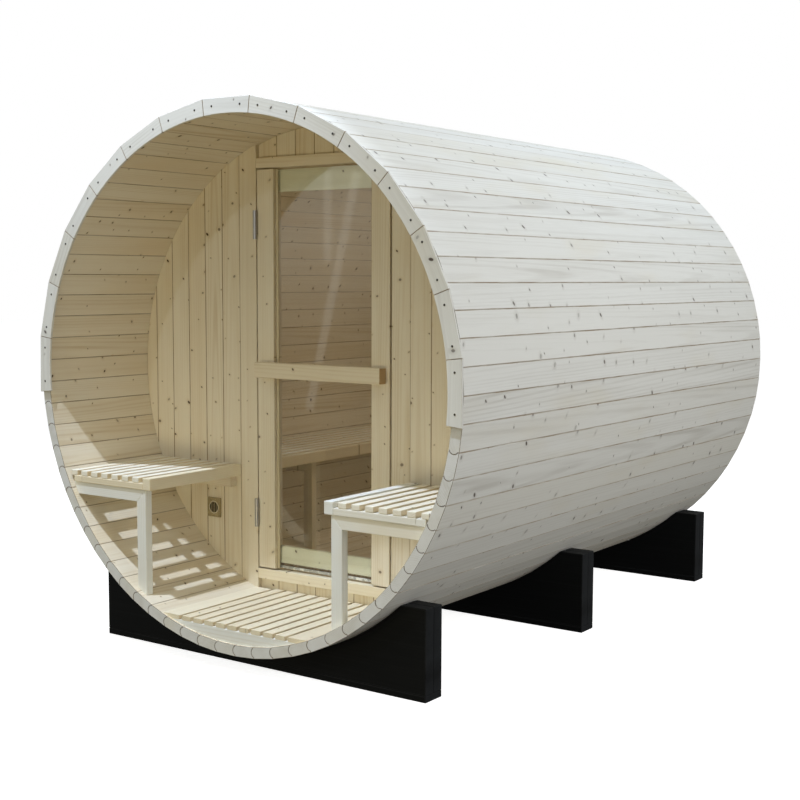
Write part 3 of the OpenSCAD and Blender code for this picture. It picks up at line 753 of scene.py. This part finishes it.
class SAUNA_OT_staves(bpy.types.Operator):
    """Build the barrel from bead-and-cove staves, white-washed outside and bare inside."""

    bl_idname = "sauna.staves"
    bl_label = "Staves"

    ARC_STEPS = 7
    # Finishes of a stave and their numbers
    FINISHES = ("washed_boards", "spruce_boards", "washed_ends", "seam")
    WASH, BARE, ENDS, SEAM = range(4)
    # Cosines that tell a sawn end, its eased rim and the inside of the barrel
    SAWN = 0.95
    EASED = 0.1
    INSIDE = 0.5
    # Long corners lie before the first or beyond the second of these depths under the outer face, as
    # shares of the thickness
    OUTER_SHARE = 0.1
    INNER_SHARE = 0.97

    def edge(self, radius, centre, side):
        """Bead or cove along a stave's edge, as places through the stave and beyond its edge."""
        reach = math.acos(abs(centre) / radius)
        turns = [reach * (2 * i / self.ARC_STEPS - 1) for i in range(self.ARC_STEPS + 1)]
        return [(radius * math.sin(a), centre + side * radius * math.cos(a)) for a in turns]

    def profile(self):
        """Outline of a stave at the right of the barrel, from its inner lower corner."""
        s = sizes()
        half = math.pi / s.stave_count
        middle_radius = OUTER_RADIUS - s.stave_thickness / 2
        flat = s.stave_thickness / 2
        inside = s.bead_radius - s.bead_out
        bead = self.edge(s.bead_radius, -inside, 1)
        cove = self.edge(s.bead_radius + s.joint_gap, inside, -1)
        lower = [(-flat, 0.0), *bead, (flat, 0.0)]
        upper = [(flat, 0.0), *reversed(cove), (-flat, 0.0)]
        points = []
        for side, row in ((-1, lower), (1, upper)):
            for out, beyond in row:
                slope = Vector((math.cos(half), 0, side * math.sin(half)))
                square = Vector((-math.sin(half), 0, side * math.cos(half)))
                lean = (middle_radius + out) / math.cos(half) if abs(out) == flat else middle_radius + out
                points.append(slope * lean + square * (beyond - s.joint_gap / 2))
        return points

    def paint(self, face):
        """Finish of a face: wash outside, bare wood inside, end grain and the seams between ends."""
        if abs(face.normal.y) > self.SAWN:
            return self.ENDS
        if abs(face.normal.y) > self.EASED:
            return self.SEAM
        place = face.calc_center_median()
        inward = Vector((-place.x, 0, AXIS_Z - place.z)).normalized()
        return self.BARE if face.normal.dot(inward) > self.INSIDE else self.WASH

    def execute(self, context):
        s = sizes()
        step = math.tau / s.stave_count
        points = self.profile()
        for k, side in enumerate(("right", "top", "left", "bottom")):
            name = f"stave_boards_{side}"
            timber = Timber(name)
            for i in range(self.first(k, s.stave_count), self.first(k + 1, s.stave_count)):
                angle = (i + 0.5) * step
                lift = timber.luck.uniform(-s.stave_stray, 0.0)
                front = STAVE_FRONT + timber.luck.uniform(0.0, s.stave_stray)
                back = STAVE_BACK - timber.luck.uniform(0.0, 2 * s.stave_stray)
                place = Vector((lift, front, AXIS_Z))
                timber.outline([p + place for p in points], BACK * (back - front))
                timber.ease(s.stave_ease, BACK, keep=lambda e: self.long_corner(e, s))
                timber.ease(s.end_ease, segments=1, keep=self.at_end)
                timber.turn(angle)
                across = Matrix.Rotation(-angle, 3, "Y") @ UP
                timber.close(BACK, across, self.paint, (step / 2, 1, 2))
            timber.piece(name, self.FINISHES, SHELL, [f"staves_{side}"], "washed_wood")
        return {"FINISHED"}

    def first(self, quarter, count):
        """Number of the first stave in a quarter, from the joint at the right of the axis."""
        return math.floor((quarter - 0.5) * count / 4 + 0.5)

    def at_end(self, edge):
        """Whether an edge lies in a stave's sawn end."""
        return abs(edge.verts[0].co.y - edge.verts[1].co.y) < WELD

    def long_corner(self, edge, s):
        """Whether an edge is one of the four long corners of a stave."""
        depth = (OUTER_RADIUS - edge.verts[0].co.x) / s.stave_thickness
        return depth < self.OUTER_SHARE or depth > self.INNER_SHARE


class SAUNA_OT_trim(bpy.types.Operator):
    """Build the ring of mitred trim boards over the front stave ends, with its screws."""

    bl_idname = "sauna.trim"
    bl_label = "Trim ring"

    ARC_STEPS = 6

    def execute(self, context):
        s = sizes()
        half = s.trim_step / 2
        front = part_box("front_trim_ring")[0].y
        depth = STAVE_FRONT - front
        timber = Timber("trim_boards")
        heads = []
        middle_radius = (OUTER_RADIUS + s.trim_inner) / 2
        corner = OUTER_RADIUS * math.tan(half) - s.trim_gap / 2
        sweep = math.asin((s.trim_inner * math.sin(half) - s.trim_gap / 2) / s.trim_inner)
        arc = [sweep * (2 * i / self.ARC_STEPS - 1) for i in range(self.ARC_STEPS + 1)]
        points = [Vector((s.trim_inner * math.cos(a), front, s.trim_inner * math.sin(a))) for a in arc]
        points += [Vector((OUTER_RADIUS, front, corner)), Vector((OUTER_RADIUS, front, -corner))]
        for i in range(s.trim_count):
            angle = math.pi / 2 - s.trim_turn + (i - (s.trim_count - 1) / 2) * s.trim_step
            timber.outline([p + UP * AXIS_Z for p in points], BACK * depth)
            timber.ease(s.board_ease)
            timber.turn(angle)
            turned = Matrix.Rotation(-angle, 3, "Y")
            timber.close(turned @ UP, turned @ RIGHT, wedge=(half, 0, 1))
            for side in (-1, 1):
                head = turned @ Vector((middle_radius, 0, side * s.trim_screw))
                heads.append(head + Vector((0, front, AXIS_Z)))
        timber.piece("trim_boards", ["trim_wood"], SHELL, ["front_trim_ring"], "washed_wood")
        screws("trim_screws", heads, -BACK, s.screw_radius, SHELL)
        return {"FINISHED"}


class SAUNA_OT_end_walls(bpy.types.Operator):
    """Build the upright boards of the front wall and of the back wall."""

    bl_idname = "sauna.end_walls"
    bl_label = "End walls"

    def execute(self, context):
        nodes = ("front_wall_left", "front_wall_right", "front_wall_over_door",
                 "front_wall_under_door", "back_wall")
        for node in nodes:
            fitted_boards(f"{node}_boards", node, UP, RIGHT, sizes().board_ease, "spruce_boards")
        return {"FINISHED"}


class SAUNA_OT_door_frame(bpy.types.Operator):
    """Build the jambs, the header and the threshold of the doorway."""

    bl_idname = "sauna.door_frame"
    bl_label = "Door frame"

    def execute(self, context):
        ease = sizes().board_ease
        fitted_boards("jamb_posts", "door_jambs", UP, RIGHT, ease, "door_boards")
        box_boards("header_board", "door_header", RIGHT, UP, ease, "door_boards")
        box_boards("threshold_board", "door_threshold", RIGHT, UP, ease, "frame_boards")
        return {"FINISHED"}


class SAUNA_OT_vent(bpy.types.Operator):
    """Build the vent plate with its round louvre."""

    bl_idname = "sauna.vent"
    bl_label = "Wall vent"

    # Finishes of the plate, the hole and the rim, and the numbers of the last two; the hole's near-black
    # disc is painted shade
    FINISHES = ("vent_paint", "vent_shade", "vent_rim")
    SHADE, RIM = 1, 2
    BARS = 4
    BAR_WIDTH = 0.0022
    BAR_DEPTH = 0.0016
    EDGE = 0.003
    RIM_WIDTH = 0.0035
    HOLE_RADIUS = 0.021
    HOLE_STEPS = 40
    # Thickness of the dark disc behind the bars, half of it in the plate, and how deep the rim sits
    DISC_DEPTH = 0.0008
    SINK = 0.0005

    def execute(self, context):
        low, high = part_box("wall_vent")
        centre = (low + high) / 2
        bm = bmesh.new()
        block(bm, low, high)
        front = [f for f in bm.faces if f.normal.dot(-BACK) > FACING]
        bmesh.ops.inset_region(bm, faces=front, thickness=self.EDGE, depth=0.0)
        bmesh.ops.inset_region(bm, faces=front, thickness=self.EDGE, depth=-self.EDGE / 2)
        rim_y = low.y + self.EDGE / 2
        self.ring(bm, centre, rim_y)
        disc = Matrix.Translation((centre.x, rim_y, centre.z)) @ Matrix.Rotation(math.pi / 2, 4, "X")
        # A near-black disc behind the bars: painted shade for the dark inside of the vent
        hole = bmesh.ops.create_cone(
            bm, cap_ends=True, segments=self.HOLE_STEPS, radius1=self.HOLE_RADIUS,
            radius2=self.HOLE_RADIUS, depth=self.DISC_DEPTH, matrix=disc)
        for vert in hole["verts"]:
            for face in vert.link_faces:
                face.material_index = self.SHADE
        self.bars(bm, centre, rim_y)
        piece("vent_plate", bm, self.FINISHES, SHELL, ["wall_vent"])
        return {"FINISHED"}

    def ring(self, bm, centre, rim_y):
        """Round rim about the louvre."""
        inner = centre.x + self.HOLE_RADIUS
        outer = inner + self.RIM_WIDTH
        front = rim_y - self.EDGE / 2
        back = rim_y + self.SINK
        row = ((inner, back), (inner, front), (outer, front), (outer, back))
        verts = [bm.verts.new((x, y, centre.z)) for x, y in row]
        edges = [bm.edges.new(pair) for pair in zip(verts, verts[1:] + verts[:1])]
        before = set(bm.faces)
        bmesh.ops.spin(
            bm, geom=[*verts, *edges], cent=centre, axis=BACK, angle=math.tau, steps=self.HOLE_STEPS,
            use_merge=True)
        for face in set(bm.faces) - before:
            # The rim takes the lighter rim colour: a painted highlight on the ring
            face.material_index = self.RIM
        bmesh.ops.recalc_face_normals(bm, faces=bm.faces)

    def bars(self, bm, centre, rim_y):
        """Upright louvre bars across the hole."""
        pitch = 2 * self.HOLE_RADIUS / (self.BARS + 1)
        for i in range(self.BARS):
            x = (i - (self.BARS - 1) / 2) * pitch
            reach = math.sqrt(self.HOLE_RADIUS ** 2 - x ** 2)
            place = Vector((centre.x + x, rim_y - self.BAR_DEPTH / 2, centre.z))
            half = Vector((self.BAR_WIDTH / 2, self.BAR_DEPTH / 2, reach))
            block(bm, place - half, place + half)


class SAUNA_OT_porch_floor(bpy.types.Operator):
    """Build the porch floor's slats and the bearers under them."""

    bl_idname = "sauna.porch_floor"
    bl_label = "Porch floor"

    def execute(self, context):
        ease = sizes().slat_ease
        fitted_boards("floor_slat_boards", "porch_floor_slats", BACK, RIGHT, ease, "floor_boards")
        fitted_boards("floor_bearer_boards", "porch_floor_bearers", RIGHT, UP, ease, "planed_boards")
        return {"FINISHED"}


class SAUNA_OT_benches(bpy.types.Operator):
    """Build the two porch benches and the bench in the room."""

    bl_idname = "sauna.benches"
    bl_label = "Benches"

    # Finishes of each bench's frame and of its legs
    WOODS = {
        "left_bench": ("frame_boards", "planed_boards"),
        "right_bench": ("planed_boards", "planed_boards"),
        "inner_bench": ("frame_boards", "door_boards"),
    }

    def execute(self, context):
        ease = sizes().slat_ease
        for bench, (frame_wood, leg_wood) in self.WOODS.items():
            box_boards(f"{bench}_slat_boards", f"{bench}_slats", BACK, RIGHT, ease, "slat_boards")
            self.frame(f"{bench}_frame", frame_wood)
            self.legs(f"{bench}_legs", leg_wood)
        return {"FINISHED"}

    def frame(self, node, finish_name):
        """Rails along the bench and bearers across it."""
        timber = Timber(node)
        for low, high in solids(node):
            size = high - low
            timber.box(low, high)
            timber.ease(sizes().slat_ease)
            timber.close(*((BACK, RIGHT) if size.y > size.x else (RIGHT, BACK)))
        timber.piece(f"{node}_boards", [finish_name], SHELL, [node], "spruce")

    def legs(self, node, finish_name):
        """Legs mitred to their rails, and ledgers on the walls."""
        s = sizes()
        timber = Timber(node)
        boxes = solids(node)
        posts = [(low, high) for low, high in boxes if high.z - low.z > high.x - low.x]
        for low, high in boxes:
            out = RIGHT if low.x > 0 else -RIGHT
            heel = Vector((low.x if low.x > 0 else high.x, low.y, high.z))
            lean = (out + UP).normalized()
            cuts = []
            along = out
            if (low, high) in posts:
                cuts = [(heel, lean)]
                along = UP
            elif any(abs(post[0].y - low.y) < s.fit_gap for post in posts):
                cuts = [(heel, -lean)]
            timber.fitted(inner_radius() - s.fit_gap, low, high, cuts)
            timber.ease(s.board_ease)
            timber.close(along, BACK, lambda face: 0 if cuts else 1)
        timber.piece(f"{node}_boards", [finish_name, "door_boards"], SHELL, [node], "spruce")


class SAUNA_OT_cradles(bpy.types.Operator):
    """Build the three painted cradles, each of two arc-cut boards on a foot."""

    bl_idname = "sauna.cradles"
    bl_label = "Cradles"

    ARC_STEPS = 24
    EASE = 0.002

    def execute(self, context):
        s = sizes()
        saddle = OUTER_RADIUS / math.cos(math.pi / s.stave_count) + s.fit_gap
        for place in ("front", "middle", "back"):
            node = f"cradle_{place}"
            timber = Timber(node)
            for low, high in solids(node):
                if high.z - low.z > high.y - low.y:
                    timber.outline(self.saddle_board(low, high, saddle), BACK * (high.y - low.y))
                else:
                    timber.box(low, high)
                timber.ease(self.EASE)
                timber.close(RIGHT, UP)
            timber.piece(f"{node}_beams", ["cradle_paint"], SHELL, [node], "black_paint")
        return {"FINISHED"}

    def saddle_board(self, low, high, saddle):
        """Outline with an arc-cut top and a short flat at each end."""
        reach = math.acos((AXIS_Z - high.z) / saddle)
        turns = [reach * (2 * i / self.ARC_STEPS - 1) for i in range(self.ARC_STEPS + 1)]
        arc = [Vector((saddle * math.sin(a), low.y, AXIS_Z - saddle * math.cos(a))) for a in turns]
        foot = [Vector((high.x, low.y, low.z)), Vector((low.x, low.y, low.z))]
        ends = [Vector((high.x, low.y, high.z)), *foot, Vector((low.x, low.y, high.z))]
        return [*arc, *ends]


class SAUNA_OT_door_leaf(bpy.types.Operator):
    """Build the door's stiles, rails, glazing strips, pull bar and seal."""

    bl_idname = "sauna.door_leaf"
    bl_label = "Door leaf"

    EASE = 0.002
    BAR_EASE = 0.003
    STRIP_EASE = 0.001
    # Ribbed share of the seal's height, its ribs, their ease as a share of a rib, the steps of that
    # ease, and how far the carrier is set back
    STRIP_SHARE = 0.5
    RIBS = 2
    RIB_EASE = 0.3
    RIB_STEPS = 3
    CARRIER_SET = 0.006

    def execute(self, context):
        self.stiles()
        box_boards("door_rail_boards", "door_rails", RIGHT, UP, self.EASE, "rail_boards", DOOR)
        # The glazing strips take the darker bead wood: painted shade in their recess beside the glass
        box_boards("glazing_strips", "door_glazing_beads", UP, RIGHT, self.STRIP_EASE, "bead_wood", DOOR)
        box_boards("pull_bar", "door_bar", RIGHT, UP, self.BAR_EASE, "bar_wood", DOOR)
        self.seal()
        return {"FINISHED"}

    def stiles(self):
        """Stiles with a groove for the glass."""
        gap = sizes().fit_gap
        glass_low, glass_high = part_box("door_glass")
        timber = Timber("stile_boards")
        for low, high in solids("door_stiles"):
            side = 1 if low.x > 0 else -1
            inner, outer = sorted((abs(low.x), abs(high.x)))
            deep = glass_high.x + gap
            row = [(inner, low.y), (outer, low.y), (outer, high.y), (inner, high.y)]
            row += [(inner, glass_high.y + gap), (deep, glass_high.y + gap)]
            row += [(deep, glass_low.y - gap), (inner, glass_low.y - gap)]
            timber.outline([Vector((side * x, y, low.z)) for x, y in row], UP * (high.z - low.z))
            timber.ease(self.EASE, UP, keep=lambda e: self.corner(e, low, high))
            timber.close(UP, RIGHT)
        timber.piece("stile_boards", ["door_boards"], DOOR, ["door_stiles"], "spruce")

    def corner(self, edge, low, high):
        """Whether an edge is on one of the stile's four long corners."""
        y = edge.verts[0].co.y
        return min(y - low.y, high.y - y) < WELD

    def seal(self):
        """Ribbed rubber strip under a set-back wooden carrier."""
        low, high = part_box("door_seal")
        split = low.z + self.STRIP_SHARE * (high.z - low.z)
        bm = bmesh.new()
        pitch = (split - low.z) / self.RIBS
        rows = [(low.z + i * pitch, low.z + (i + 1) * pitch, low.y) for i in range(self.RIBS)]
        for bottom, top, front in [*rows, (split, high.z, low.y + self.CARRIER_SET)]:
            verts = block(bm, Vector((low.x, front, bottom)), Vector((high.x, high.y, top)))
            edges = {e for v in verts for e in v.link_edges if parallel(e, RIGHT)}
            for face in {face for e in edges for face in e.link_faces}:
                # The carrier takes the dark seam colour: painted shade in its recess under the door
                face.material_index = int(bottom == split)
            round_off(bm, list(edges), self.RIB_EASE * pitch, self.RIB_STEPS)
        piece("seal_strip", bm, ["rubber_seal", "seam"], DOOR, ["door_seal"])


class SAUNA_OT_glass(bpy.types.Operator):
    """Build the door's glass pane with ground edges."""

    bl_idname = "sauna.glass"
    bl_label = "Glass"

    GROUND = 0.001

    def execute(self, context):
        bm = bmesh.new()
        block(bm, *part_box("door_glass"))
        round_off(bm, bm.edges[:], self.GROUND)
        for face in bm.faces:
            face.material_index = 0 if face.normal.dot(-BACK) > FACING else 1
        piece("glass_pane", bm, ["glass_gloss", "glass_tint"], DOOR, ["door_glass"])
        return {"FINISHED"}


class SAUNA_OT_hinges(bpy.types.Operator):
    """Finish the hinges in brushed steel."""

    bl_idname = "sauna.hinges"
    bl_label = "Hinges"

    def execute(self, context):
        for node in ("door_hinge_leaves", "frame_hinge_leaves"):
            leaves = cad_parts[node]
            leaves.data.materials.clear()
            leaves.data.materials.append(finish("hinge_steel"))
        return {"FINISHED"}


class SAUNA_OT_stage(bpy.types.Operator):
    """Set up the floor, the soft light and the camera."""

    bl_idname = "sauna.stage"
    bl_label = "Stage"

    FLOOR_REACH = 30.0
    SENSOR = 36.0
    WHITE = (1.0, 1.0, 1.0)
    SKY_TINT = (0.91, 0.97, 0.97)
    FLOOR_TINT = (1.06, 0.97, 0.78)
    # Half of the height over which the light from below turns to the light from above
    HORIZON = 0.06
    # Place, aim and tint of the porch lamp, its cone, how soft the cone's edge is, and its radius
    SPOT = ((-0.706, -2.31, 5.13), (0.0, -2.17, 0.4), (0.89, 1.03, 1.28))
    SPOT_CONE = math.radians(42.0)
    SPOT_BLEND = 0.35
    SPOT_RADIUS = 0.04
    # Place, aim, width and height, and tint of each soft light
    SOFT = {
        "ceiling_light": ((0.6, 1.2, 4.5), (0.4, 0.8, 0.0), (4.0, 3.0), (0.89, 0.985, 1.1)),
        "side_light": ((5.0, -1.3, 3.2), (0.0, 0.3, 0.9), (4.0, 2.5), (1.0, 1.0, 1.01)),
        "low_light": ((5.5, 0.6, 1.2), (0.0, 0.4, 0.8), (4.0, 2.0), (1.0, 0.99, 0.95)),
        "front_light": ((-0.82, -5.7, 3.2), (0.0, -0.7, 0.9), (0.1, 0.1), (0.86, 0.97, 1.06)),
        "bounce_light": ((0.2, -4.2, 0.25), (0.0, -0.9, 1.5), (2.4, 0.4), (1.07, 0.93, 0.57)),
        "fill_light": ((0.3, -3.4, 4.6), (0.0, -0.9, 0.6), (3.0, 1.5), (1.03, 0.95, 0.74)),
        "rear_light": ((-4.5, 3.5, 3.0), (0.0, 0.8, 0.9), (4.0, 2.5), (1.0, 1.0, 1.0)),
        "room_lamp": ((0.1, 0.25, 1.74), (0.1, 0.26, 0.0), (0.5, 0.5), (1.04, 0.94, 0.795)),
    }
    # Foot, head and width of the thin lights
    STREAKS = {
        "glint_left": ((-2.625, -4.0, 1.42), (-2.623, -4.0, 2.04), 0.06),
        "glint_right": ((-2.788, -4.0, 0.42), (-2.377, -4.0, 2.01), 0.07),
    }

    def execute(self, context):
        stage = context.scene.sauna_stage
        self.floor(stage)
        self.sky(stage)
        self.camera(stage)
        self.spot(stage.porch_lamp)
        for name, (place, aim, size, hue) in self.SOFT.items():
            self.soft(name, place, aim, size, getattr(stage, name), hue)
        self.glints(stage)
        context.scene.view_settings.view_transform = "Standard"
        return {"FINISHED"}

    def glints(self, stage):
        """Thin lights in front, which show as streaks in the glass."""
        for name, (foot, head, width) in self.STREAKS.items():
            rise = Vector(head) - Vector(foot)
            place = Vector(foot) + rise / 2
            watts = stage.glint * math.pi * width * rise.length
            self.soft(name, place, place + BACK, (width, rise.length), watts, self.WHITE, rise)

    def floor(self, stage):
        """White floor that shows to the camera and lights nothing."""
        bm = bmesh.new()
        bmesh.ops.create_grid(bm, x_segments=1, y_segments=1, size=self.FLOOR_REACH)
        made = mesh_object("stage_floor", bm, ["stage_white"])
        made.visible_diffuse = False
        made.visible_glossy = False
        white = made.data.materials[0]
        white.cycles.emission_sampling = "NONE"
        shader = white.node_tree.nodes["Principled BSDF"]
        shader.inputs["Emission Color"].default_value = (*self.WHITE, 1.0)
        shader.inputs["Emission Strength"].default_value = stage.floor_glow
        shader.inputs["Specular IOR Level"].default_value = 0.0

    def sky(self, stage):
        """Soft light from above and below, what the glass mirrors, and a white backdrop."""
        world = bpy.data.worlds.new("studio")
        bpy.context.scene.world = world
        world.use_nodes = True
        nodes = world.node_tree.nodes
        links = world.node_tree.links
        place = nodes.new("ShaderNodeTexCoord")
        height = nodes.new("ShaderNodeSeparateXYZ")
        links.new(place.outputs["Generated"], height.inputs[0])
        rise = nodes.new("ShaderNodeMapRange")
        rise.interpolation_type = "SMOOTHSTEP"
        rise.inputs["From Min"].default_value = -self.HORIZON
        rise.inputs["From Max"].default_value = self.HORIZON
        links.new(height.outputs["Z"], rise.inputs["Value"])
        path = nodes.new("ShaderNodeLightPath")
        shader = None
        layers = (
            ("", stage.ground, stage.sky, self.FLOOR_TINT, self.SKY_TINT),
            ("Is Glossy Ray", stage.ground, stage.hall, self.WHITE, self.WHITE),
            ("Is Camera Ray", 1.0, 1.0, self.WHITE, self.WHITE),
        )
        for seen_by, below, above, below_tint, above_tint in layers:
            blend = nodes.new("ShaderNodeMix")
            blend.data_type = "RGBA"
            blend.inputs[MIX_A].default_value = (*dimmed(below_tint, below), 1.0)
            blend.inputs[MIX_B].default_value = (*dimmed(above_tint, above), 1.0)
            links.new(rise.outputs[0], blend.inputs[0])
            light = nodes.new("ShaderNodeBackground")
            links.new(blend.outputs[MIX_RESULT], light.inputs["Color"])
            if shader:
                mixer = nodes.new("ShaderNodeMixShader")
                links.new(path.outputs[seen_by], mixer.inputs[0])
                links.new(shader, mixer.inputs[1])
                links.new(light.outputs[0], mixer.inputs[2])
                light = mixer
            shader = light.outputs[0]
        links.new(shader, nodes["World Output"].inputs["Surface"])

    def camera(self, stage):
        """The camera at its place, turned by its angles."""
        lens = bpy.data.cameras.new("camera")
        lens.lens = stage.lens
        lens.sensor_width = self.SENSOR
        made = add("camera", lens)
        level = math.cos(stage.elevation)
        look = Vector((-math.sin(stage.azimuth) * level, math.cos(stage.azimuth) * level,
                       -math.sin(stage.elevation)))
        made.rotation_mode = "QUATERNION"
        made.location = stage.camera_place
        made.rotation_quaternion = look.to_track_quat("-Z", "Y") @ Quaternion((0, 0, 1), stage.roll)
        bpy.context.scene.camera = made

    def lamp(self, name, kind, place, aim, watts, hue, upright=UP):
        """A light of any kind at a place, turned to its aim."""
        data = bpy.data.lights.new(name, kind)
        data.energy = watts
        data.color = hue
        made = add(name, data)
        made.location = place
        made.rotation_mode = "QUATERNION"
        rear = (Vector(place) - Vector(aim)).normalized()
        side = upright.cross(rear).normalized()
        made.rotation_quaternion = Matrix((side, rear.cross(side), rear)).transposed().to_quaternion()
        return data

    def spot(self, watts):
        """The lamp over the porch."""
        place, aim, hue = self.SPOT
        data = self.lamp("porch_lamp", "SPOT", place, aim, watts, hue)
        data.spot_size = self.SPOT_CONE
        data.spot_blend = self.SPOT_BLEND
        data.shadow_soft_size = self.SPOT_RADIUS

    def soft(self, name, place, aim, size, watts, hue, upright=UP):
        """A soft light with a rectangle's shape."""
        data = self.lamp(name, "AREA", place, aim, watts, hue, upright)
        data.shape = "RECTANGLE"
        data.size = size[0]
        data.size_y = size[1]


STEPS = (
    SAUNA_OT_staves, SAUNA_OT_trim, SAUNA_OT_end_walls, SAUNA_OT_door_frame, SAUNA_OT_vent,
    SAUNA_OT_porch_floor, SAUNA_OT_benches, SAUNA_OT_cradles, SAUNA_OT_door_leaf, SAUNA_OT_glass,
    SAUNA_OT_hinges, SAUNA_OT_stage,
)


class SAUNA_PT_build(bpy.types.Panel):
    """Lists the steps that build the sauna."""

    bl_idname = "SAUNA_PT_build"
    bl_label = "Barrel Sauna"
    bl_space_type = "VIEW_3D"
    bl_region_type = "UI"
    bl_category = "Sauna"

    def draw(self, context):
        for step in STEPS:
            self.layout.operator(step.bl_idname)


CLASSES = (*GROUPS.values(), *STEPS, SAUNA_PT_build)


def register():
    for cls in CLASSES:
        bpy.utils.register_class(cls)
    for name, group in GROUPS.items():
        setattr(bpy.types.Scene, name, PointerProperty(type=group))


def unregister():
    for name in GROUPS:
        delattr(bpy.types.Scene, name)
    for cls in reversed(CLASSES):
        bpy.utils.unregister_class(cls)


def main():
    register()
    for step in STEPS:
        getattr(bpy.ops.sauna, step.bl_idname.split(".")[1])()


if __name__ == "__main__":
    main()
